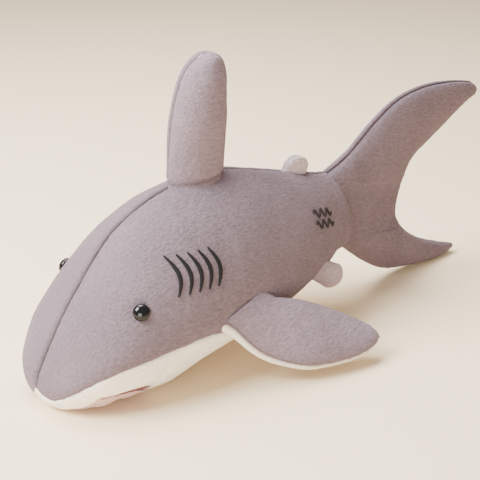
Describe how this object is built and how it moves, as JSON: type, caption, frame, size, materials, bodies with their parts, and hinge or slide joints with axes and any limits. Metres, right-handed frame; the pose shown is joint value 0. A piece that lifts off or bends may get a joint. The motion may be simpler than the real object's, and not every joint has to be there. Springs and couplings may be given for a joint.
{
  "type": "plush shark",
  "caption": "Stuffed plush shark with sewn grey and white cloth panels, plastic eyes, embroidered gills and soft fins, tail and lower jaw that flex at their roots.",
  "frame": {"origin": "on the floor, at the middle of the bounding box's underside", "axes": "nose towards -X, tail towards +X, left side towards -Y, back up +Z"},
  "size_m": [0.6827, 0.3204, 0.3483],
  "materials": {
    "plush_grey": "short dense plush pile, matt, grey-taupe",
    "plush_white": "short dense plush pile, matt, warm white",
    "plush_pale": "short dense plush pile, matt, pale grey",
    "stuffing": "loose polyester fibre",
    "felt_red": "thin brushed cloth, matt",
    "felt_white": "thin felt, matt",
    "thread_dark": "satin-stitched polyester thread",
    "eye_plastic": "polished black",
    "washer_plastic": "plain moulded"
  },
  "bodies": {
    "torso": {"belly_panel": "plush_white", "body_stuffing": "stuffing", "eye_left": "eye_plastic", "eye_right": "eye_plastic", "eye_washer_left": "washer_plastic", "eye_washer_right": "washer_plastic", "gill_left_1": "thread_dark", "gill_left_2": "thread_dark", "gill_left_3": "thread_dark", "gill_left_4": "thread_dark", "gill_left_5": "thread_dark", "gill_right_1": "thread_dark", "gill_right_2": "thread_dark", "gill_right_3": "thread_dark", "gill_right_4": "thread_dark", "gill_right_5": "thread_dark", "mouth_lining": "felt_red", "side_panel_left": "plush_grey", "side_panel_right": "plush_grey", "tail_wave_lower": "thread_dark", "tail_wave_upper": "thread_dark", "upper_teeth_left": "felt_white", "upper_teeth_right": "felt_white"},
    "jaw": {"jaw_lining": "felt_red", "jaw_panel": "plush_white", "jaw_stuffing": "stuffing", "lower_teeth_left": "felt_white", "lower_teeth_right": "felt_white"},
    "dorsal_fin": {"dorsal_panel_left": "plush_grey", "dorsal_panel_right": "plush_grey", "dorsal_stuffing": "stuffing"},
    "second_dorsal_fin": {"second_dorsal_left": "plush_pale", "second_dorsal_right": "plush_pale", "second_dorsal_stuffing": "stuffing"},
    "pectoral_fin_left": {"pectoral_bottom_left": "plush_white", "pectoral_stuffing_left": "stuffing", "pectoral_top_left": "plush_grey"},
    "pectoral_fin_right": {"pectoral_bottom_right": "plush_white", "pectoral_stuffing_right": "stuffing", "pectoral_top_right": "plush_grey"},
    "pelvic_fin_left": {"pelvic_bottom_left": "plush_white", "pelvic_stuffing_left": "stuffing", "pelvic_top_left": "plush_pale"},
    "pelvic_fin_right": {"pelvic_bottom_right": "plush_white", "pelvic_stuffing_right": "stuffing", "pelvic_top_right": "plush_pale"},
    "tail": {"tail_panel_left": "plush_grey", "tail_panel_right": "plush_grey", "tail_stuffing": "stuffing"}
  },
  "joints": [
    {"name": "jaw_open", "type": "hinge", "parent": "torso", "child": "jaw", "pos_m": [-0.24, 0, 0], "axis": [0, -1, 0], "range_deg": [0, 25], "stiffness_Nm_per_rad": 0.6},
    {"name": "tail_sway", "type": "hinge", "parent": "torso", "child": "tail", "pos_m": [0.062, 0, 0.11], "axis": [0, 0, 1], "range_deg": [-22, 22], "stiffness_Nm_per_rad": 1.5},
    {"name": "dorsal_bend", "type": "hinge", "parent": "torso", "child": "dorsal_fin", "pos_m": [-0.1275, 0, 0.226], "axis": [1, 0, 0], "range_deg": [-18, 18], "stiffness_Nm_per_rad": 1},
    {"name": "second_dorsal_bend", "type": "hinge", "parent": "torso", "child": "second_dorsal_fin", "pos_m": [0.02, 0, 0.1905], "axis": [0.9642, 0, -0.2652], "range_deg": [-15, 15], "stiffness_Nm_per_rad": 0.1},
    {"name": "pectoral_flap_left", "type": "hinge", "parent": "torso", "child": "pectoral_fin_left", "pos_m": [-0.1215, -0.0973, 0.0704], "axis": [-0.9521, -0.0805, -0.295], "range_deg": [-5, 50], "stiffness_Nm_per_rad": 0.8},
    {"name": "pectoral_flap_right", "type": "hinge", "parent": "torso", "child": "pectoral_fin_right", "pos_m": [-0.1215, 0.0973, 0.0704], "axis": [0.9521, -0.0805, 0.295], "range_deg": [-5, 50], "stiffness_Nm_per_rad": 0.8},
    {"name": "pelvic_flap_left", "type": "hinge", "parent": "torso", "child": "pelvic_fin_left", "pos_m": [0.015, -0.0617, 0.074], "axis": [-0.8713, -0.0272, -0.4901], "range_deg": [-10, 25], "stiffness_Nm_per_rad": 0.1},
    {"name": "pelvic_flap_right", "type": "hinge", "parent": "torso", "child": "pelvic_fin_right", "pos_m": [0.015, 0.0617, 0.074], "axis": [0.8713, -0.0272, 0.4901], "range_deg": [-10, 25], "stiffness_Nm_per_rad": 0.1}
  ]
}
